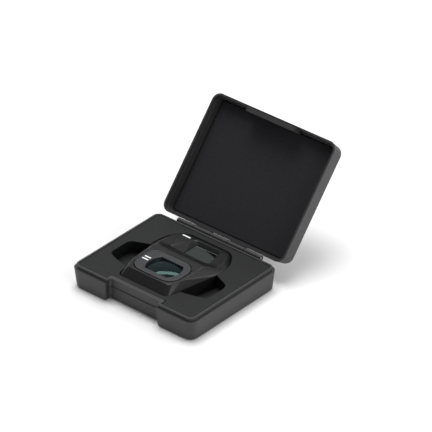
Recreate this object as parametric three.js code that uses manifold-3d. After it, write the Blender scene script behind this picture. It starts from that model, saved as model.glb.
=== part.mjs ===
// Hinged plastic storage case, open, with a clip-on wide-angle lens attachment in its insert.
// Millimetres, +Z up, +Y towards the hinge. The origin is on the middle of the case's underside.
import * as THREE from 'three';
import { ConvexGeometry } from 'three/addons/geometries/ConvexGeometry.js';
import { mergeVertices } from 'three/addons/utils/BufferGeometryUtils.js';
import Module from 'manifold-3d';

const wasm = await Module();
wasm.setup();

// ---------------------------------------------------------------- driving dimensions
const CASE_WIDTH = 78;
const CASE_DEPTH = 64.4;
const CORNER_RADIUS = 4.5;
const LEDGE_HEIGHT = 10.8;
const LEDGE_WIDTH = 1.3;
const LIP_WIDTH = 1.0;
const LIP_RISE = 1.8;
const LID_HEIGHT = 9.4;
const WALL = 1.6;
const GAP = 0.3;
const LID_OPENING = THREE.MathUtils.degToRad(130.5);

const HINGE_OFFSET = 1.45;
const KNUCKLE_RADIUS = 1.35;
const PIN_RADIUS = 0.6;
const HINGE_HALF_SPAN = 27;

const LATCH_HALF_WIDTH = 15.2;
const RECESS_HALF_WIDTH = 16;
const RECESS_DEPTH = 3.4;

const ATTACHMENT_BOTTOM = 5.8;
const PLATEAU_HEIGHT = 16.3;

// ---------------------------------------------------------------- places worked out from them
const HALF_WIDTH = CASE_WIDTH / 2;
const FRONT = -(CASE_DEPTH + HINGE_OFFSET) / 2;
const BACK = FRONT + CASE_DEPTH;
const MIDDLE_Y = (FRONT + BACK) / 2;
const HINGE_Y = BACK + HINGE_OFFSET;
const RIM_HEIGHT = LEDGE_HEIGHT + GAP;
const HINGE_Z = LEDGE_HEIGHT + 0.5;
const LIP_TOP = LEDGE_HEIGHT + LIP_RISE;
const INSERT_TOP = LIP_TOP - 0.1;
const LID_TOP = RIM_HEIGHT + LID_HEIGHT;
const SHELL_INSET = LEDGE_WIDTH + LIP_WIDTH;
const RECESS_BACK = FRONT + RECESS_DEPTH;

// ---------------------------------------------------------------- materials
function finish(color, roughness, metalness = 0) {
  return new THREE.MeshStandardMaterial({ color, roughness, metalness });
}

const shellPlastic = finish(0x2b2b2c, 0.62);
const insertPlastic = finish(0x262728, 0.78);
const linerFoam = finish(0x1c1c1e, 0.92);
const framePlastic = finish(0x2e2e30, 0.42);
const blackMetal = finish(0x1a1b1d, 0.35, 0.8);
const steel = finish(0x9a9c9f, 0.3, 1);
const softRubber = finish(0x141415, 0.88);
const whitePrint = finish(0xdadbdc, 0.6);
const coatedGlass = finish(0x18262b, 0.04);

// ---------------------------------------------------------------- solids
function solid(geometry) {
  const bare = geometry.clone();
  bare.deleteAttribute('normal');
  bare.deleteAttribute('uv');
  const merged = mergeVertices(bare, 1e-4);
  const vertProperties = new Float32Array(merged.attributes.position.array);
  const triVerts = new Uint32Array(merged.index.array);
  return new wasm.Manifold(new wasm.Mesh({ numProp: 3, vertProperties, triVerts }));
}

function join(first, ...others) {
  return others.reduce((sum, other) => sum.add(other), first);
}

function cut(first, ...others) {
  return others.reduce((rest, other) => rest.subtract(other), first);
}

function piece(name, manifold, material) {
  const { vertProperties, triVerts } = manifold.getMesh();
  const geometry = new THREE.BufferGeometry();
  geometry.setAttribute('position', new THREE.BufferAttribute(new Float32Array(vertProperties), 3));
  geometry.setIndex(new THREE.BufferAttribute(new Uint32Array(triVerts), 1));
  geometry.computeVertexNormals();
  const mesh = new THREE.Mesh(geometry, material);
  mesh.name = name;
  return mesh;
}

function block(x0, x1, y0, y1, z0, z1) {
  const geometry = new THREE.BoxGeometry(x1 - x0, y1 - y0, z1 - z0);
  geometry.translate((x0 + x1) / 2, (y0 + y1) / 2, (z0 + z1) / 2);
  return solid(geometry);
}

function rodAlongX(radius, x0, x1, y, z) {
  const geometry = new THREE.CylinderGeometry(radius, radius, x1 - x0, 24);
  geometry.rotateZ(Math.PI / 2);
  geometry.translate((x0 + x1) / 2, y, z);
  return solid(geometry);
}

function extrusion(shape, z0, z1, steps = 1) {
  const options = { depth: z1 - z0, bevelEnabled: false, curveSegments: 8, steps };
  const geometry = new THREE.ExtrudeGeometry(shape, options);
  geometry.translate(0, 0, z0);
  return geometry;
}

// ---------------------------------------------------------------- outlines
function roundedRect(x0, x1, y0, y1, radius) {
  const shape = new THREE.Shape();
  shape.absarc(x1 - radius, y1 - radius, radius, 0, Math.PI / 2);
  shape.absarc(x0 + radius, y1 - radius, radius, Math.PI / 2, Math.PI);
  shape.absarc(x0 + radius, y0 + radius, radius, Math.PI, Math.PI * 1.5);
  shape.absarc(x1 - radius, y0 + radius, radius, Math.PI * 1.5, Math.PI * 2);
  return shape;
}

// The case's plan, pulled in by an inset, with its corners kept concentric.
function casePlan(inset) {
  const radius = Math.max(CORNER_RADIUS - inset, 1);
  return roundedRect(-HALF_WIDTH + inset, HALF_WIDTH - inset, FRONT + inset, BACK - inset, radius);
}

// A closed outline through corner points, each corner rounded by its own radius.
function roundedPolygon(corners) {
  const shape = new THREE.Shape();
  const count = corners.length;
  corners.forEach(([x, y, radius], index) => {
    const corner = new THREE.Vector2(x, y);
    const before = new THREE.Vector2(...corners[(index + count - 1) % count]);
    const after = new THREE.Vector2(...corners[(index + 1) % count]);
    const start = before.sub(corner).setLength(radius).add(corner);
    const end = after.sub(corner).setLength(radius).add(corner);
    if (index === 0) shape.moveTo(start.x, start.y);
    else shape.lineTo(start.x, start.y);
    shape.quadraticCurveTo(corner.x, corner.y, end.x, end.y);
  });
  shape.closePath();
  return shape;
}

// Mirrors the right half's corners to make a whole outline, running anticlockwise.
function mirroredPolygon(rightCorners) {
  const leftCorners = rightCorners.map(([x, y, radius]) => [-x, y, radius]).reverse();
  return roundedPolygon([...rightCorners, ...leftCorners]);
}

// ---------------------------------------------------------------- drafted walls
const BASE_WALL = { z0: 0, z1: LEDGE_HEIGHT, closedAtTop: false, slope: 0.9, edgeRadius: 1 };
const LID_WALL = { z0: RIM_HEIGHT, z1: LID_TOP, closedAtTop: true, slope: 0.9, edgeRadius: 0.9 };
const WALL_LAYERS = 12;

// How far a wall has come in, at a distance from its closed face, where it ends in a rounded edge.
function wallInset(wall, distance) {
  const dip = Math.max(wall.edgeRadius - distance, 0);
  const rounding = wall.edgeRadius - Math.sqrt(wall.edgeRadius ** 2 - dip ** 2);
  return wall.slope * (1 - distance / (wall.z1 - wall.z0)) + rounding;
}

// Stands a plan up in layers, which crowd towards the closed face, and moves each by its inset.
function leaningSolid(plan, wall, moveBy) {
  const geometry = extrusion(plan, 0, 1, WALL_LAYERS);
  const position = geometry.attributes.position;
  for (let i = 0; i < position.count; i += 1) {
    const share = wall.closedAtTop ? 1 - position.getZ(i) : position.getZ(i);
    const distance = (wall.z1 - wall.z0) * share ** 2;
    const z = wall.closedAtTop ? wall.z1 - distance : wall.z0 + distance;
    const [x, y] = moveBy(position.getX(i), position.getY(i), wallInset(wall, distance));
    position.setXYZ(i, x, y, z);
  }
  return solid(geometry);
}

function pulledIn(x, y, inset) {
  const shareInDepth = 1 - inset / (CASE_DEPTH / 2);
  return [x * (1 - inset / HALF_WIDTH), MIDDLE_Y + (y - MIDDLE_Y) * shareInDepth];
}

// ---------------------------------------------------------------- hinge
// Knuckles fill the hinge's span from end to end: the base owns the even ones.
const KNUCKLE_COUNT = 5;

function knuckleSpans(parity, margin) {
  const length = (2 * HINGE_HALF_SPAN) / KNUCKLE_COUNT;
  const spans = [];
  for (let i = parity; i < KNUCKLE_COUNT; i += 2) {
    const start = -HINGE_HALF_SPAN + i * length;
    spans.push([start + margin, start + length - margin]);
  }
  return spans;
}

function knuckle(x0, x1, side) {
  const barrel = rodAlongX(KNUCKLE_RADIUS, x0, x1, HINGE_Y, HINGE_Z);
  const webGap = PIN_RADIUS + 0.15;
  const below = block(x0, x1, BACK - 1, HINGE_Y, HINGE_Z - KNUCKLE_RADIUS, HINGE_Z - webGap);
  const above = block(x0, x1, BACK - 1, HINGE_Y, HINGE_Z + webGap, HINGE_Z + KNUCKLE_RADIUS);
  return join(barrel, side === 'base' ? below : above);
}

function withHinge(shell, side) {
  const parity = side === 'base' ? 0 : 1;
  const own = knuckleSpans(parity, GAP / 2).map(([x0, x1]) => knuckle(x0, x1, side));
  const clearance = KNUCKLE_RADIUS + GAP;
  const foreign = knuckleSpans(1 - parity, -GAP / 2)
    .map(([x0, x1]) => rodAlongX(clearance, x0, x1, HINGE_Y, HINGE_Z));
  const holeEnd = HINGE_HALF_SPAN + 1;
  const pinHole = rodAlongX(PIN_RADIUS + 0.08, -holeEnd, holeEnd, HINGE_Y, HINGE_Z);
  return cut(join(shell, ...own), ...foreign, pinHole);
}

function hingePin() {
  const end = HINGE_HALF_SPAN - 0.4;
  return piece('hinge_pin', rodAlongX(PIN_RADIUS, -end, end, HINGE_Y, HINGE_Z), steel);
}

// ---------------------------------------------------------------- case base
const CATCH = { radius: 0.45, y: RECESS_BACK + 0.2, z: 7.75 };
const RECESS_SIDE_WALL = 1.3;

function latchRecess() {
  const reach = FRONT - 5;
  const plan = roundedRect(-RECESS_HALF_WIDTH, RECESS_HALF_WIDTH, reach, RECESS_BACK, 1.2);
  const pushedIn = (x, y, inset) => [x * (1 + inset / RECESS_HALF_WIDTH), y + inset];
  const lower = leaningSolid(plan, BASE_WALL, pushedIn);
  const upper = solid(extrusion(plan, LEDGE_HEIGHT, LIP_TOP + 1));
  return join(lower, upper);
}

// A rod along the catch, longer than the recess is wide so that its ends run into the walls.
function catchRod(radius) {
  const end = RECESS_HALF_WIDTH + 0.5;
  return rodAlongX(radius, -end, end, CATCH.y, CATCH.z);
}

function caseBase() {
  const outer = leaningSolid(casePlan(0), BASE_WALL, pulledIn);
  const lip = solid(extrusion(casePlan(LEDGE_WIDTH), LEDGE_HEIGHT - 1, LIP_TOP));
  const cavity = solid(extrusion(casePlan(SHELL_INSET), WALL, LIP_TOP + 1));
  const hollowShell = cut(join(outer, lip), cavity);
  const end = RECESS_HALF_WIDTH + RECESS_SIDE_WALL;
  const backingPlan = roundedRect(-end, end, FRONT + LEDGE_WIDTH, RECESS_BACK + SHELL_INSET, 0.9);
  const backing = solid(extrusion(backingPlan, 1, LIP_TOP));
  const fronted = join(cut(join(hollowShell, backing), latchRecess()), catchRod(CATCH.radius));
  return piece('case_base', withHinge(fronted, 'base'), shellPlastic);
}

// ---------------------------------------------------------------- insert
const TRAY_BOTTOM = WALL + 0.1;
const POCKET_FLOOR = ATTACHMENT_BOTTOM - 1.2;
const CUTOUT_FLOOR = 5.6;

// Right-hand corners of the attachment's outline, front to back: x, y, corner radius.
function attachmentOutline(inset) {
  return mirroredPolygon([
    [15.6 - inset, -24.4 + inset, 2.6],
    [21.9 - inset, 7.4, 5],
    [20.6 - inset, 17.3 - inset, 3.6],
    [14.5 - inset, 25.6 - inset, 4],
  ]);
}

function fingerCutout() {
  const outline = mirroredPolygon([
    [19.0, -16.3, 1.5],
    [25.8, -14.6, 3],
    [31.4, -12.4, 2.5],
    [31.4, 1.8, 3],
    [20.5, 6.3, 1.5],
  ]);
  return solid(extrusion(outline, CUTOUT_FLOOR, INSERT_TOP + 1));
}

function insertTray() {
  const trayInset = SHELL_INSET + GAP;
  const blank = solid(extrusion(casePlan(trayInset), TRAY_BOTTOM, INSERT_TOP));
  const notchEnd = RECESS_HALF_WIDTH + RECESS_SIDE_WALL + GAP;
  const notchBack = RECESS_BACK + SHELL_INSET + GAP;
  const latchNotch = block(-notchEnd, notchEnd, FRONT, notchBack, 0, INSERT_TOP + 1);
  const pocket = solid(extrusion(attachmentOutline(0), POCKET_FLOOR, INSERT_TOP + 1));
  return piece('insert_tray', cut(blank, latchNotch, pocket, fingerCutout()), insertPlastic);
}

function pocketPad() {
  const pad = extrusion(attachmentOutline(0.6), POCKET_FLOOR + 0.1, ATTACHMENT_BOTTOM - 0.1);
  return piece('pocket_pad', solid(pad), linerFoam);
}

// ---------------------------------------------------------------- lid, drawn closed
const LINER_FACE = 17.0;
const LID_CEILING = LID_TOP - WALL;
const LID_WALL_INSET = LEDGE_WIDTH + 0.7;

const LATCH_OUTER = FRONT + 0.85;
const LATCH_INNER = FRONT + 3.2;
const LATCH_BOTTOM = 6.9;
const LATCH_PIVOT = { radius: 0.5, y: FRONT + 1.13, z: RIM_HEIGHT + 2.8 };
const TRUNNION_LENGTH = 1.2;

// The opening leaves a thin skin of the front wall outside the tongue.
function latchOpening() {
  const end = LATCH_HALF_WIDTH + GAP;
  const skin = 0.5;
  const opening = block(-end, end, FRONT + skin, LATCH_INNER + GAP, 0, LATCH_PIVOT.z + 0.9);
  const socketEnd = end + TRUNNION_LENGTH;
  const socketRadius = LATCH_PIVOT.radius + 0.18;
  const sockets = rodAlongX(socketRadius, -socketEnd, socketEnd, LATCH_PIVOT.y, LATCH_PIVOT.z);
  return join(opening, sockets);
}

function caseLid() {
  const outer = leaningSolid(casePlan(0), LID_WALL, pulledIn);
  const lipRoom = solid(extrusion(casePlan(LEDGE_WIDTH - GAP), RIM_HEIGHT - 1, LIP_TOP + GAP));
  const cavity = solid(extrusion(casePlan(LID_WALL_INSET), RIM_HEIGHT - 1, LID_CEILING));
  const shell = cut(outer, lipRoom, cavity, latchOpening());
  return piece('case_lid', withHinge(shell, 'lid'), shellPlastic);
}

function lidLiner() {
  const panel = extrusion(casePlan(LID_WALL_INSET + GAP), LINER_FACE, LID_CEILING - 0.1);
  return piece('lid_liner', solid(panel), linerFoam);
}

// ---------------------------------------------------------------- latch tongue, drawn closed
function latchTab() {
  const end = LATCH_HALF_WIDTH + TRUNNION_LENGTH;
  const plateTop = LATCH_PIVOT.z - 0.2;
  const half = LATCH_HALF_WIDTH;
  const plate = block(-half, half, LATCH_OUTER, LATCH_INNER, LATCH_BOTTOM, plateTop);
  const trunnions = rodAlongX(LATCH_PIVOT.radius, -end, end, LATCH_PIVOT.y, LATCH_PIVOT.z);
  const tongue = cut(join(plate, trunnions), catchRod(CATCH.radius + 0.25));
  return piece('latch_tab', tongue, shellPlastic);
}

// ---------------------------------------------------------------- lens attachment
const LENS_X = 1.35;
const LENS_Y = -9.7;
const BEZEL_SEAT = 13.9;
const SHOULDER_HEIGHT = 12.2;
const FLANGE_SEAT = 12.3;
const ROOF_UNDERSIDE = 10.6;
const PANE_TOP = 11.5;
const APERTURE = { radius: 9.25, halfFlat: 6.15 };

// A disc or ring cut flat at front and back, as the lens and its mounts are.
function flattened(manifold, halfFlat) {
  return manifold.intersect(block(-40, 40, LENS_Y - halfFlat, LENS_Y + halfFlat, 0, 40));
}

function flatSidedDisc(radius, halfFlat, z0, z1) {
  const geometry = new THREE.CylinderGeometry(radius, radius, z1 - z0, 56);
  geometry.rotateX(Math.PI / 2);
  geometry.translate(LENS_X, LENS_Y, (z0 + z1) / 2);
  return flattened(solid(geometry), halfFlat);
}

function flatSidedRing(outer, inner, wall, halfFlat, z0, z1) {
  const opening = flatSidedDisc(inner, halfFlat - wall, z0 - 1, z1 + 1);
  return cut(flatSidedDisc(outer, halfFlat, z0, z1), opening);
}

// A lens turned about its axis: hollow below, domed above.
function lensElement({ radius, halfFlat }, bottom, edgeTop, dome, hollow) {
  const profile = [new THREE.Vector2(0, bottom + hollow)];
  const steps = 6;
  for (let i = 1; i <= steps; i += 1) {
    const share = i / steps;
    profile.push(new THREE.Vector2(radius * share, bottom + hollow * (1 - share ** 2)));
  }
  for (let i = steps; i > 0; i -= 1) {
    const share = i / steps;
    profile.push(new THREE.Vector2(radius * share, edgeTop + dome * (1 - share ** 2)));
  }
  profile.push(new THREE.Vector2(0, edgeTop + dome));
  const geometry = new THREE.LatheGeometry(profile, 48);
  geometry.rotateX(Math.PI / 2);
  geometry.translate(LENS_X, LENS_Y, 0);
  return flattened(solid(geometry), halfFlat);
}

function bezelOutline(inset) {
  return roundedRect(-14.1 + inset, 14.1 - inset, -19.3 + inset, 0.7 - inset, 7.8 - inset);
}

// Right-hand corners of the flat top that the frame's walls slope up to, front to back.
function plateauOutline(inset) {
  return mirroredPolygon([
    [13.6 - inset, -20.35 + inset, 2.6],
    [15.9 - inset, -13, 2.5],
    [15.9 - inset, 3, 4],
    [13, 22 - inset, 3],
  ]);
}

// Slopes the frame's walls in from its plan to the plateau, whose edge is slightly rounded.
function slopedBlock() {
  const levels = [
    [attachmentOutline(0.35), ATTACHMENT_BOTTOM],
    [attachmentOutline(0.35), SHOULDER_HEIGHT],
    [plateauOutline(0), PLATEAU_HEIGHT - 0.35],
    [plateauOutline(0.15), PLATEAU_HEIGHT - 0.12],
    [plateauOutline(0.4), PLATEAU_HEIGHT],
  ];
  const points = levels.flatMap(([outline, z]) => (
    outline.getPoints(6).map(({ x, y }) => new THREE.Vector3(x, y, z))
  ));
  return solid(new ConvexGeometry(points));
}

// Side view: behind the lens the plateau drops to the window's lower, gently falling deck.
function frameSideView() {
  const view = new THREE.Shape();
  view.moveTo(-30, 0);
  view.lineTo(-30, PLATEAU_HEIGHT + 1);
  view.lineTo(3.2, PLATEAU_HEIGHT + 1);
  view.lineTo(3.2, PLATEAU_HEIGHT);
  view.quadraticCurveTo(4.2, PLATEAU_HEIGHT, 5, 15.9);
  view.lineTo(7.8, 14.5);
  view.quadraticCurveTo(8.9, 14, 10.5, 13.9);
  view.lineTo(21.5, 13.4);
  view.quadraticCurveTo(24.6, 13.2, 25.3, 12.1);
  view.lineTo(25.3, 0);
  view.closePath();
  return view;
}

function frameForm() {
  const reach = 30;
  const side = extrusion(frameSideView(), -reach, reach);
  side.rotateX(Math.PI / 2).rotateZ(Math.PI / 2);
  return slopedBlock().intersect(solid(side));
}

// The window's mouth is wider than the pane below it, most of all at its front left corner.
// Both are given by their corners, from the front left one round to the back left one.
const MOUTH = [[-13.4, 8.5], [13.8, 8.5], [10.3, 23.7], [-6.8, 23.4]];
const THROAT = [[-4.4, 11], [11.2, 11], [9.6, 21.2], [-4.4, 20.8]];
const MOUTH_HEIGHT = 14.3;

// The place in a four-cornered outline at shares of its width and depth.
function inside(corners, across, along) {
  const [frontLeft, frontRight, backRight, backLeft] = corners.map((xy) => new THREE.Vector2(...xy));
  const front = frontLeft.lerp(frontRight, across);
  return front.lerp(backLeft.lerp(backRight, across), along);
}

// A rounded four-sided solid whose outline runs from one set of corners to another.
function funnel(lower, upper, z0, z1) {
  const geometry = extrusion(roundedRect(0, 1, 0, 1, 0.1), 0, 1);
  const position = geometry.attributes.position;
  for (let i = 0; i < position.count; i += 1) {
    const [across, along, rise] = [position.getX(i), position.getY(i), position.getZ(i)];
    const place = inside(lower, across, along).lerp(inside(upper, across, along), rise);
    position.setXYZ(i, place.x, place.y, THREE.MathUtils.lerp(z0, z1, rise));
  }
  return solid(geometry);
}

// The same rounded outline as the funnel's throat, as a shape.
function throatOutline() {
  const unit = roundedRect(0, 1, 0, 1, 0.1).getPoints(8);
  return new THREE.Path(unit.map(({ x, y }) => inside(THROAT, x, y)));
}

function paneOutline(margin) {
  return roundedRect(-5.6 - margin, 12.6 + margin, 9.8 - margin, 21.9 + margin, 2 + margin);
}

function cameraHollow() {
  return mirroredPolygon([
    [13.4, -21.4, 2.5],
    [18.9, 2, 5],
    [18.6, 15.5, 3.5],
    [12.5, 23.2, 3.5],
  ]);
}

function lensFrame() {
  const openings = [
    solid(extrusion(bezelOutline(0), BEZEL_SEAT, PLATEAU_HEIGHT + 1)),
    flatSidedDisc(10.7, 7.7, 9, BEZEL_SEAT + 1),
    flatSidedDisc(12, 8.8, FLANGE_SEAT, BEZEL_SEAT + 1),
    solid(extrusion(cameraHollow(), 0, ROOF_UNDERSIDE)),
    funnel(THROAT, THROAT, 9, PANE_TOP),
    solid(extrusion(paneOutline(0.15), 9, PANE_TOP)),
    funnel(THROAT, MOUTH, PANE_TOP, MOUTH_HEIGHT),
    funnel(MOUTH, MOUTH, MOUTH_HEIGHT, PLATEAU_HEIGHT + 1),
    ...clipSlots(),
  ];
  return piece('lens_frame', cut(frameForm(), ...openings), framePlastic);
}

function bezelPlate() {
  const bottom = BEZEL_SEAT + 0.1;
  const top = PLATEAU_HEIGHT + 0.15;
  const plate = solid(extrusion(bezelOutline(GAP), bottom, top));
  const aperture = flatSidedDisc(APERTURE.radius, APERTURE.halfFlat, bottom - 1, top + 1);
  return piece('bezel_plate', cut(plate, aperture), framePlastic);
}

// ---------------------------------------------------------------- glass and its cell
const CELL_TOP = 13.2;
const SEAL_STEP = 11.6;
const REAR_STEP = 7.2;
const REAR_GLASS = { radius: 6.8, halfFlat: 4.85 };
const FRONT_GLASS = { radius: 8.9, halfFlat: 5.85 };

function lensCell() {
  const tube = flatSidedDisc(10.6, 7.55, 6.4, CELL_TOP);
  const flange = flatSidedDisc(11.8, 8.6, FLANGE_SEAT + 0.1, CELL_TOP);
  const frontBore = flatSidedDisc(9.2, 6.15, SEAL_STEP, CELL_TOP + 1);
  const rearBore = flatSidedDisc(7, 5.05, REAR_STEP, CELL_TOP);
  const exitHole = flatSidedDisc(5.8, 4.2, 5, CELL_TOP);
  return piece('lens_cell', cut(join(tube, flange), frontBore, rearBore, exitHole), blackMetal);
}

function lensStack() {
  const rear = lensElement(REAR_GLASS, 7.3, 8.2, 0.6, 0.4);
  const spacer = flatSidedRing(REAR_GLASS.radius, 5.9, 0.7, REAR_GLASS.halfFlat, 8.9, 9.5);
  const middle = lensElement(REAR_GLASS, 9.6, 10.6, 0.4, 0.3);
  const seal = flatSidedRing(9, 7.6, 0.95, 5.95, SEAL_STEP + 0.1, 12.1);
  const front = lensElement(FRONT_GLASS, 12.2, 15.1, 1.1, 0.5);
  const retainer = flatSidedRing(10.4, 9.05, 1.25, 7.2, CELL_TOP + 0.1, BEZEL_SEAT - 0.05);
  return [
    piece('rear_element', rear, coatedGlass),
    piece('spacer_ring', spacer, blackMetal),
    piece('middle_element', middle, coatedGlass),
    piece('front_seal', seal, softRubber),
    piece('front_element', front, coatedGlass),
    piece('retaining_ring', retainer, blackMetal),
  ];
}

// ---------------------------------------------------------------- window pane
function windowPieces() {
  const paneShape = paneOutline(-0.05);
  const gasket = paneOutline(-0.05);
  const retainer = roundedRect(-8.5, 13.9, 8.4, 22, 2.4);
  [gasket, retainer].forEach((outline) => outline.holes.push(throatOutline()));
  return [
    piece('window_pane', solid(extrusion(paneShape, 10.75, PANE_TOP - 0.05)), coatedGlass),
    piece('pane_gasket', solid(extrusion(gasket, 10.3, 10.7)), softRubber),
    piece('pane_retainer', solid(extrusion(retainer, 9.5, 10.2)), blackMetal),
  ];
}

// ---------------------------------------------------------------- spring clips and pads
const CLIP_HALF_LENGTH = 4.5;
const CLIP_MIDDLE_Y = 2.5;
const CLIP_BOTTOM = ATTACHMENT_BOTTOM + 0.8;
const CLIP_TOP = 11.9;

function besideClip(side, inner, outer, z0, z1, margin = 0) {
  const x0 = Math.min(side * inner, side * outer);
  const x1 = Math.max(side * inner, side * outer);
  const half = CLIP_HALF_LENGTH + margin;
  return block(x0, x1, CLIP_MIDDLE_Y - half, CLIP_MIDDLE_Y + half, z0, z1);
}

function clipSlots() {
  return [-1, 1].map((side) => besideClip(side, 16.4, 18.7, CLIP_BOTTOM, CLIP_TOP + GAP, GAP));
}

function snapClip(name, side) {
  const blade = besideClip(side, 17, 17.9, CLIP_BOTTOM, CLIP_TOP);
  const hook = besideClip(side, 16.2, 17.5, CLIP_BOTTOM, CLIP_BOTTOM + 1.1);
  return piece(name, join(blade, hook), framePlastic);
}

// Rubber pads under the frame's roof, which rest on the camera when the attachment is in use.
function cameraPads() {
  const thickness = 0.8;
  const top = ROOF_UNDERSIDE - 0.1;
  const places = { front: [7, 11.5, -20.7, -18.7], rear: [15.4, 17.4, 9, 14] };
  return Object.entries(places).flatMap(([end, [inner, outer, y0, y1]]) => [
    piece(`camera_pad_${end}_left`, block(-outer, -inner, y0, y1, top - thickness, top), softRubber),
    piece(`camera_pad_${end}_right`, block(inner, outer, y0, y1, top - thickness, top), softRubber),
  ]);
}

// ---------------------------------------------------------------- printed marks
const PRINT_THICKNESS = 0.1;
const PRINT_LIFT = 0.04;

// A thin bar that follows the frame's top surface, just clear of it.
function frameMark() {
  const bar = solid(extrusion(roundedRect(-14.0, -9.0, 21.1, 22.0, 0.4), 10, PLATEAU_HEIGHT));
  const above = frameForm().translate([0, 0, PRINT_LIFT + PRINT_THICKNESS]);
  const below = frameForm().translate([0, 0, PRINT_LIFT]);
  return piece('frame_mark', cut(above.intersect(bar), below), whitePrint);
}

function bezelMark(name, middleY) {
  const bottom = PLATEAU_HEIGHT + 0.15 + PRINT_LIFT;
  const outline = roundedRect(-12.4, -8.5, middleY - 0.4, middleY + 0.4, 0.35);
  const bar = extrusion(outline, bottom, bottom + PRINT_THICKNESS);
  return piece(name, solid(bar), whitePrint);
}

// ---------------------------------------------------------------- assembly
function openLid() {
  const closed = new THREE.Group();
  closed.position.set(0, -HINGE_Y, -HINGE_Z);
  closed.add(caseLid(), lidLiner(), latchTab());
  const swing = new THREE.Group();
  swing.position.set(0, HINGE_Y, HINGE_Z);
  swing.rotation.x = -LID_OPENING;
  swing.add(closed);
  return swing;
}

function lensAttachment() {
  const attachment = new THREE.Group();
  attachment.add(lensFrame(), bezelPlate(), lensCell(), ...lensStack(), ...windowPieces());
  attachment.add(snapClip('snap_clip_left', -1), snapClip('snap_clip_right', 1));
  attachment.add(...cameraPads());
  attachment.add(frameMark());
  attachment.add(bezelMark('bezel_mark_upper', -8.2), bezelMark('bezel_mark_lower', -10.2));
  return attachment;
}

const storageCase = new THREE.Group();
storageCase.add(caseBase(), insertTray(), pocketPad(), hingePin(), openLid(), lensAttachment());

export default storageCase;
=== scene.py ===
# Looks for a clip-on lens attachment in an open, hinged storage case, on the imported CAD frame.
import math

import bmesh
import bpy
from mathutils import Matrix, Vector


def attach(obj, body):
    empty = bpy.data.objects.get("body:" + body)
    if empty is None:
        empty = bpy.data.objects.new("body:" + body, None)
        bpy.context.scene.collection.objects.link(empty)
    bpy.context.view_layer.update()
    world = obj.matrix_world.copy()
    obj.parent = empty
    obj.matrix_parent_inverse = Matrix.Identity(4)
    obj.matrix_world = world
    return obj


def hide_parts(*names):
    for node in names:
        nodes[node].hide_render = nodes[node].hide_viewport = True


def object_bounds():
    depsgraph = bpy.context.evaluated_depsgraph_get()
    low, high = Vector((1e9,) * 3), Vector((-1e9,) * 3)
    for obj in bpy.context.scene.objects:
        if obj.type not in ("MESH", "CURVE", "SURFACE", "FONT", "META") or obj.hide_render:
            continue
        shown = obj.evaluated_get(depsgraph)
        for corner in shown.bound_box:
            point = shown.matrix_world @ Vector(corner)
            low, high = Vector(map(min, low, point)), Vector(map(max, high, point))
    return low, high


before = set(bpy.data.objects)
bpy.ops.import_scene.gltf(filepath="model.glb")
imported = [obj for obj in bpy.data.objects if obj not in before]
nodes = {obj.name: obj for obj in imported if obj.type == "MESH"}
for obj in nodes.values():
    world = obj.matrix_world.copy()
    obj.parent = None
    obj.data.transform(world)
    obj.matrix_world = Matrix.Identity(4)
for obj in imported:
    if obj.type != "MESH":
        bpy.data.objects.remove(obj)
cad_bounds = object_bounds()

MM = 0.001


# ---------------------------------------------------------------- camera
# The photograph's viewing direction, distance and lens, with the object's origin as the pivot.
AZIMUTH = math.radians(40.65)
ELEVATION = math.radians(32.34)
DISTANCE = 2.048
ASIDE = 0.01969
RAISED = 0.03413
FOCAL_LENGTH_MM = 350.7


def add_camera():
    right = Vector((math.cos(AZIMUTH), math.sin(AZIMUTH), 0))
    back = Vector((
        math.sin(AZIMUTH) * math.cos(ELEVATION),
        -math.cos(AZIMUTH) * math.cos(ELEVATION),
        math.sin(ELEVATION),
    ))
    up = back.cross(right)
    data = bpy.data.cameras.new("camera")
    data.lens = FOCAL_LENGTH_MM
    data.sensor_width = 36
    data.clip_end = 20
    camera = bpy.data.objects.new("camera", data)
    axes = Matrix((right, up, back)).transposed()
    camera.matrix_world = Matrix.Translation(
        back * DISTANCE + right * ASIDE + up * RAISED
    ) @ axes.to_4x4()
    bpy.context.collection.objects.link(camera)
    bpy.context.scene.camera = camera


# ---------------------------------------------------------------- material building blocks
def new_material(name, colour, roughness, specular=0.5, metallic=0.0):
    material = bpy.data.materials.new(name)
    material.use_nodes = True
    shader = material.node_tree.nodes["Principled BSDF"]
    shader.inputs["Base Color"].default_value = (*colour, 1)
    shader.inputs["Roughness"].default_value = roughness
    shader.inputs["Specular IOR Level"].default_value = specular
    shader.inputs["Metallic"].default_value = metallic
    return material, shader


def noise(material, scale, detail=3.0):
    """Noise in the object's own space; scale is in features per metre."""
    tree = material.node_tree
    place = tree.nodes.new("ShaderNodeTexCoord")
    texture = tree.nodes.new("ShaderNodeTexNoise")
    texture.inputs["Scale"].default_value = scale
    texture.inputs["Detail"].default_value = detail
    tree.links.new(place.outputs["Object"], texture.inputs["Vector"])
    return texture.outputs["Fac"]


def remap(material, value, low, high):
    """A 0 to 1 pattern, whose middle part is stretched over low to high."""
    tree = material.node_tree
    node = tree.nodes.new("ShaderNodeMapRange")
    node.inputs["From Min"].default_value = 0.3
    node.inputs["From Max"].default_value = 0.7
    node.inputs["To Min"].default_value = low
    node.inputs["To Max"].default_value = high
    tree.links.new(value, node.inputs["Value"])
    return node.outputs["Result"]


def mix_colours(material, factor, first, second):
    tree = material.node_tree
    node = tree.nodes.new("ShaderNodeMix")
    node.data_type = "RGBA"
    tree.links.new(factor, node.inputs["Factor"])
    for socket, colour in ((node.inputs["A"], first), (node.inputs["B"], second)):
        if isinstance(colour, tuple):
            socket.default_value = (*colour, 1)
        else:
            tree.links.new(colour, socket)
    return node.outputs["Result"]


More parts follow.
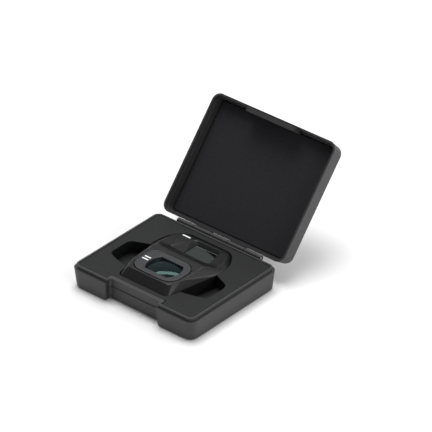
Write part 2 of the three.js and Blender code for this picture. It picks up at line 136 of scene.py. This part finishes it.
def vary_colour(material, shader, pattern, darker, lighter):
    """Spreads the base colour between two multiples of itself."""
    base = shader.inputs["Base Color"].default_value[:3]
    colour = mix_colours(
        material,
        remap(material, pattern, 0, 1),
        tuple(c * darker for c in base),
        tuple(c * lighter for c in base),
    )
    material.node_tree.links.new(colour, shader.inputs["Base Color"])


def vary_roughness(material, shader, pattern, low, high):
    value = remap(material, pattern, low, high)
    material.node_tree.links.new(value, shader.inputs["Roughness"])


def add_bump(material, shader, pattern, height, strength=1.0):
    """Bump from a pattern; height is in metres."""
    tree = material.node_tree
    bump = tree.nodes.new("ShaderNodeBump")
    bump.inputs["Distance"].default_value = height
    bump.inputs["Strength"].default_value = strength
    tree.links.new(pattern, bump.inputs["Height"])
    tree.links.new(bump.outputs["Normal"], shader.inputs["Normal"])


# ---------------------------------------------------------------- materials
FRAME_COLOUR = (0.006, 0.006, 0.0064)
SLOPE_PAINTED_SHADE_COLOUR = (0.003, 0.0032, 0.0032)
SHADED_SLOPE_ROUGHNESS = 0.7
# The part of the frame with painted shade, made darker and matt: the slope on the left of the
# window.
SHADED_SLOPE_LOW = Vector((-12.6, 9, 10)) * MM
SHADED_SLOPE_HIGH = Vector((-4.4, 20.4, 13.6)) * MM
SHADED_SLOPE_BLUR = 0.3 * MM


def moulded_plastic(name, colour, roughness, specular, grain=9000, grain_height=0.02 * MM):
    """Plastic with a fine spark-eroded grain, faint flow marks and handling marks."""
    material, shader = new_material(name, colour, roughness, specular)
    vary_colour(material, shader, noise(material, 400, 5), 0.94, 1.07)
    vary_roughness(material, shader, noise(material, 900, 5), roughness - 0.04, roughness + 0.05)
    add_bump(material, shader, noise(material, grain, 2), grain_height, 0.5)
    return material


def liner_foam_material():
    """Closed-cell foam with a velvety face."""
    material, shader = new_material("liner_foam", (0.0125, 0.0125, 0.0145), 0.85, 0.25)
    shader.inputs["Sheen Weight"].default_value = 0.08
    shader.inputs["Sheen Roughness"].default_value = 0.5
    shader.inputs["Sheen Tint"].default_value = (0.5, 0.52, 0.6, 1)
    vary_colour(material, shader, noise(material, 700, 5), 0.92, 1.1)
    vary_roughness(material, shader, noise(material, 1300, 3), 0.78, 0.92)
    add_bump(material, shader, noise(material, 5200, 3), 0.03 * MM, 0.35)
    return material


def inside_box(material, low, high, blur):
    """1 inside a box in the object's own space, falling to 0 over the blur outside it."""
    tree = material.node_tree

    def vector_step(operation, value, other=None):
        node = tree.nodes.new("ShaderNodeVectorMath")
        node.operation = operation
        tree.links.new(value, node.inputs[0])
        if other is not None:
            node.inputs[1].default_value = other
        return node.outputs["Vector"]

    def larger(first, second):
        node = tree.nodes.new("ShaderNodeMath")
        node.operation = "MAXIMUM"
        tree.links.new(first, node.inputs[0])
        tree.links.new(second, node.inputs[1])
        return node.outputs["Value"]

    place = tree.nodes.new("ShaderNodeTexCoord").outputs["Object"]
    from_middle = vector_step("ABSOLUTE", vector_step("SUBTRACT", place, (low + high) / 2))
    outside = tree.nodes.new("ShaderNodeSeparateXYZ")
    beyond = vector_step("SUBTRACT", from_middle, (high - low) / 2)
    tree.links.new(beyond, outside.inputs["Vector"])
    furthest = larger(larger(outside.outputs["X"], outside.outputs["Y"]), outside.outputs["Z"])
    fall = tree.nodes.new("ShaderNodeMapRange")
    fall.inputs["From Max"].default_value = blur
    fall.inputs["To Min"].default_value = 1
    fall.inputs["To Max"].default_value = 0
    tree.links.new(furthest, fall.inputs["Value"])
    return fall.outputs["Result"]


def frame_plastic():
    """Satin plastic, with painted shade and a matt finish on the window's long slope."""
    material = moulded_plastic("frame_plastic", FRAME_COLOUR, 0.32, 0.35, 12000, 0.01 * MM)
    tree = material.node_tree
    shader = tree.nodes["Principled BSDF"]
    slope = inside_box(material, SHADED_SLOPE_LOW, SHADED_SLOPE_HIGH, SHADED_SLOPE_BLUR)
    # Painted shade: a darker base colour and a higher roughness are mixed in over the slope's
    # box.
    for socket, painted_shade in (("Base Color", SLOPE_PAINTED_SHADE_COLOUR), ("Roughness", (SHADED_SLOPE_ROUGHNESS,) * 3)):
        plain = shader.inputs[socket].links[0].from_socket
        tree.links.new(mix_colours(material, slope, plain, painted_shade), shader.inputs[socket])
    return material


def anodised_metal():
    """Black anodised aluminium, finely blasted."""
    material, shader = new_material("bezel_metal", (0.024, 0.025, 0.027), 0.4, 0.5, 0.2)
    vary_roughness(material, shader, noise(material, 300, 4), 0.38, 0.48)
    add_bump(material, shader, noise(material, 12000, 2), 0.01 * MM, 0.4)
    vary_colour(material, shader, noise(material, 120, 3), 0.93, 1.08)
    return material


def cell_metal():
    """Black metal with a fine, slightly uneven blasted face."""
    material, shader = new_material("cell_metal", (0.012, 0.012, 0.013), 0.5, 0.4, 0.2)
    vary_roughness(material, shader, noise(material, 900, 3), 0.42, 0.6)
    add_bump(material, shader, noise(material, 7000, 2), 0.01 * MM, 0.4)
    return material


def drawn_steel():
    """Bright drawn wire, with scratches along its length."""
    material, shader = new_material("hinge_steel", (0.62, 0.62, 0.63), 0.28, 0.5, 1.0)
    tree = material.node_tree
    place = tree.nodes.new("ShaderNodeTexCoord")
    stretch = tree.nodes.new("ShaderNodeMapping")
    stretch.inputs["Scale"].default_value = (60, 4000, 4000)
    scratches = tree.nodes.new("ShaderNodeTexNoise")
    scratches.inputs["Scale"].default_value = 1
    tree.links.new(place.outputs["Object"], stretch.inputs["Vector"])
    tree.links.new(stretch.outputs["Vector"], scratches.inputs["Vector"])
    vary_roughness(material, shader, scratches.outputs["Fac"], 0.2, 0.4)
    add_bump(material, shader, scratches.outputs["Fac"], 0.005 * MM, 0.4)
    return material


def soft_rubber():
    """Matt black rubber."""
    material, shader = new_material("soft_rubber", (0.012, 0.012, 0.013), 0.85, 0.3)
    vary_roughness(material, shader, noise(material, 700, 4), 0.78, 0.92)
    add_bump(material, shader, noise(material, 6000, 3), 0.02 * MM, 0.5)
    return material


def white_print():
    """Pad-printed white ink, slightly uneven."""
    material, shader = new_material("white_print", (0.82, 0.83, 0.84), 0.55, 0.4)
    vary_colour(material, shader, noise(material, 1500, 4), 0.9, 1.05)
    vary_roughness(material, shader, noise(material, 2500, 3), 0.5, 0.65)
    return material


def front_glass():
    """Dark tinted glass, whose coating turns bright reflections green and blue."""
    material, shader = new_material("lens_glass", (0.004, 0.008, 0.012), 0.02, 0.5)
    shader.inputs["IOR"].default_value = 1.5
    shader.inputs["Alpha"].default_value = 0.8
    shader.inputs["Specular Tint"].default_value = (0.4, 0.95, 0.85, 1)
    vary_colour(material, shader, noise(material, 300, 3), 0.9, 1.1)
    vary_roughness(material, shader, noise(material, 400, 4), 0.02, 0.05)
    return material


def inner_glass():
    """Dark coated glass deep in the cell."""
    material, shader = new_material("inner_glass", (0.008, 0.03, 0.034), 0.06, 0.6)
    shader.inputs["Specular Tint"].default_value = (0.5, 0.95, 1.0, 1)
    vary_colour(material, shader, noise(material, 300, 3), 0.9, 1.1)
    vary_roughness(material, shader, noise(material, 600, 4), 0.04, 0.09)
    return material


def window_glass():
    """The window's pane: dark behind, with a faint green-grey coating."""
    material, shader = new_material("pane_glass", (0.001, 0.0016, 0.0014), 0.03, 0.9)
    shader.inputs["IOR"].default_value = 1.9
    shader.inputs["Specular Tint"].default_value = (0.86, 1.0, 0.94, 1)
    vary_colour(material, shader, noise(material, 300, 3), 0.9, 1.1)
    vary_roughness(material, shader, noise(material, 500, 4), 0.02, 0.05)
    return material


# ---------------------------------------------------------------- surface finish of CAD nodes
def paint(piece, material):
    piece.data.materials.clear()
    piece.data.materials.append(material)


def make_one_skin():
    """A modifier's node group, which joins a solid's separate triangles into one smooth skin."""
    tree = bpy.data.node_groups.new("one_skin", "GeometryNodeTree")
    for direction in ("INPUT", "OUTPUT"):
        tree.interface.new_socket("Geometry", in_out=direction, socket_type="NodeSocketGeometry")
    merge = tree.nodes.new("GeometryNodeMergeByDistance")
    merge.inputs["Distance"].default_value = 0.001 * MM
    forget = tree.nodes.new("GeometryNodeRemoveAttribute")
    forget.inputs["Name"].default_value = "custom_normal"
    steps = [tree.nodes.new("NodeGroupInput"), merge, forget]
    for domain in ("FACE", "EDGE"):
        smooth = tree.nodes.new("GeometryNodeSetShadeSmooth")
        smooth.domain = domain
        steps.append(smooth)
    steps.append(tree.nodes.new("NodeGroupOutput"))
    for before, after in zip(steps, steps[1:]):
        tree.links.new(before.outputs["Geometry"], after.inputs["Geometry"])
    return tree


ONE_SKIN = make_one_skin()


def join_facets(piece):
    piece.modifiers.new("join_facets", "NODES").node_group = ONE_SKIN


def even_skin(piece, voxel, passes):
    """Rebuilds a piece as a fine, even skin and relaxes it, so its edges run out softly."""
    join_facets(piece)
    skin = piece.modifiers.new("even_skin", "REMESH")
    skin.mode = "VOXEL"
    skin.voxel_size = voxel
    skin.use_smooth_shade = True
    relax = piece.modifiers.new("relax", "SMOOTH")
    relax.factor = 0.5
    relax.iterations = passes


def soften_edges(node, width, segments=3):
    """Rounds a moulded piece's edges and gives its flat faces true flat shading."""
    piece = nodes[node]
    join_facets(piece)
    flatten = piece.modifiers.new("merge_flats", "DECIMATE")
    flatten.decimate_type = "DISSOLVE"
    flatten.angle_limit = math.radians(0.3)
    bevel = piece.modifiers.new("round_edges", "BEVEL")
    bevel.width = width
    bevel.segments = segments
    bevel.limit_method = "ANGLE"
    bevel.angle_limit = math.radians(30)
    bevel.harden_normals = True
    bevel.use_clamp_overlap = True
    normals = piece.modifiers.new("even_shading", "WEIGHTED_NORMAL")
    normals.keep_sharp = True
    normals.weight = 100


def smooth_curves(node, crease_degrees=30):
    """Shades a curved piece smoothly, with crisp edges where its faces meet at an angle."""
    piece = nodes[node]
    join_facets(piece)
    creases = piece.modifiers.new("crisp_edges", "EDGE_SPLIT")
    creases.split_angle = math.radians(crease_degrees)


# ---------------------------------------------------------------- foam pieces
FOAM_RELAXING = 4
FOAM_CELL_VOXELS = 6
FOAM_UNEVENNESS = 0.03 * MM


def foam_pad(name, node, body, voxel):
    """A die-cut foam sheet in a CAD solid's place, with soft edges and an uneven skin."""
    pad = bpy.data.objects.new(name, nodes[node].data.copy())
    bpy.context.collection.objects.link(pad)
    even_skin(pad, voxel, FOAM_RELAXING)
    cells = bpy.data.textures.new(name + "_cells", "CLOUDS")
    cells.noise_scale = FOAM_CELL_VOXELS * voxel
    uneven = pad.modifiers.new("uneven_skin", "DISPLACE")
    uneven.texture = cells
    uneven.texture_coords = "LOCAL"
    uneven.strength = FOAM_UNEVENNESS
    paint(pad, FOAM)
    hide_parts(node)
    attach(pad, body)


# ---------------------------------------------------------------- light and floor
SKY_STRENGTH = 0.3
FLOOR_HALF_SIZE = 5
FLOOR_DROP = 0.1 * MM


def area_light(name, place, aim, size, power):
    data = bpy.data.lights.new(name, "AREA")
    data.shape = "RECTANGLE"
    data.size = size[0]
    data.size_y = size[1]
    data.energy = power
    light = bpy.data.objects.new(name, data)
    light.location = place
    light.rotation_euler = (Vector(aim) - Vector(place)).to_track_quat("-Z", "Y").to_euler()
    bpy.context.collection.objects.link(light)


def add_floor():
    mesh = bmesh.new()
    bmesh.ops.create_grid(mesh, x_segments=8, y_segments=8, size=FLOOR_HALF_SIZE)
    data = bpy.data.meshes.new("floor")
    mesh.to_mesh(data)
    mesh.free()
    floor = bpy.data.objects.new("floor", data)
    floor.location.z = cad_bounds[0][2] - FLOOR_DROP
    bpy.context.collection.objects.link(floor)
    material, shader = new_material("floor", (0.87, 0.87, 0.87), 0.9, 0.1)
    vary_colour(material, shader, noise(material, 3), 0.995, 1.005)
    data.materials.append(material)


def add_light():
    """An even sky and soft area lights; sizes in metres, powers in watts."""
    world = bpy.data.worlds.new("studio")
    world.use_nodes = True
    sky = world.node_tree.nodes["Background"]
    sky.inputs["Color"].default_value = (1, 1, 1, 1)
    sky.inputs["Strength"].default_value = SKY_STRENGTH
    bpy.context.scene.world = world
    area_light("overhead", (-0.3, 0.2, 1.85), (0, 0, 0), (1.1, 1.1), 28)
    area_light("left", (-1.7, 0.7, 0.45), (0, 0, 0), (0.8, 0.6), 3)
    area_light("back_right", (1.2, 1.4, 1.2), (0, 0, 0), (0.7, 0.7), 8)
    area_light("right", (1.7, -0.2, 0.7), (0, 0, 0.02), (0.9, 0.9), 14)
    area_light("rim", (0, 1.1, 1.4), (0, 0, 0), (0.8, 0.2), 2)
    area_light("strip", (-0.72, 0.95, 1.3), (0, 0, 0), (0.8, 0.22), 2.2)


# ---------------------------------------------------------------- assembly
SHELL = moulded_plastic("shell_plastic", (0.024, 0.024, 0.0245), 0.48, 0.45)
INSERT = moulded_plastic("insert_plastic", (0.007, 0.0074, 0.008), 0.5, 0.25, 14000)
FRAME = frame_plastic()
BEZEL = anodised_metal()
CELL = cell_metal()
STEEL = drawn_steel()
RUBBER = soft_rubber()
PRINT = white_print()
FOAM = liner_foam_material()
LENS_GLASS = front_glass()
INNER_GLASS = inner_glass()
PANE_GLASS = window_glass()

FINISHES = {
    "case_base": SHELL,
    "case_lid": SHELL,
    "latch_tab": SHELL,
    "insert_tray": INSERT,
    "pocket_pad": FOAM,
    "lid_liner": FOAM,
    "hinge_pin": STEEL,
    "lens_frame": FRAME,
    "snap_clip_left": FRAME,
    "snap_clip_right": FRAME,
    "bezel_plate": BEZEL,
    "lens_cell": CELL,
    "spacer_ring": CELL,
    "retaining_ring": CELL,
    "pane_retainer": CELL,
    "front_seal": RUBBER,
    "pane_gasket": RUBBER,
    "camera_pad_front_left": RUBBER,
    "camera_pad_front_right": RUBBER,
    "camera_pad_rear_left": RUBBER,
    "camera_pad_rear_right": RUBBER,
    "rear_element": INNER_GLASS,
    "middle_element": INNER_GLASS,
    "front_element": LENS_GLASS,
    "window_pane": PANE_GLASS,
    "frame_mark": PRINT,
    "bezel_mark_upper": PRINT,
    "bezel_mark_lower": PRINT,
}

for node_name, node_material in FINISHES.items():
    paint(nodes[node_name], node_material)

for node_name, edge in (
    ("case_base", 0.25), ("case_lid", 0.2), ("insert_tray", 0.25), ("latch_tab", 0.25),
    ("bezel_plate", 0.3), ("lens_cell", 0.1), ("pane_retainer", 0.1),
    ("snap_clip_left", 0.1), ("snap_clip_right", 0.1),
):
    soften_edges(node_name, edge * MM)

for node_name in (
    "front_element", "middle_element", "rear_element", "window_pane", "retaining_ring",
    "spacer_ring", "front_seal", "hinge_pin",
):
    smooth_curves(node_name)

even_skin(nodes["lens_frame"], 0.2 * MM, 6)
foam_pad("liner_foam_sheet", "lid_liner", "lid", 0.4 * MM)
foam_pad("pocket_foam_sheet", "pocket_pad", "base", 0.35 * MM)

# A plain response to light, so that the white floor stays white.
bpy.context.scene.view_settings.view_transform = "Standard"
add_floor()
add_light()
add_camera()
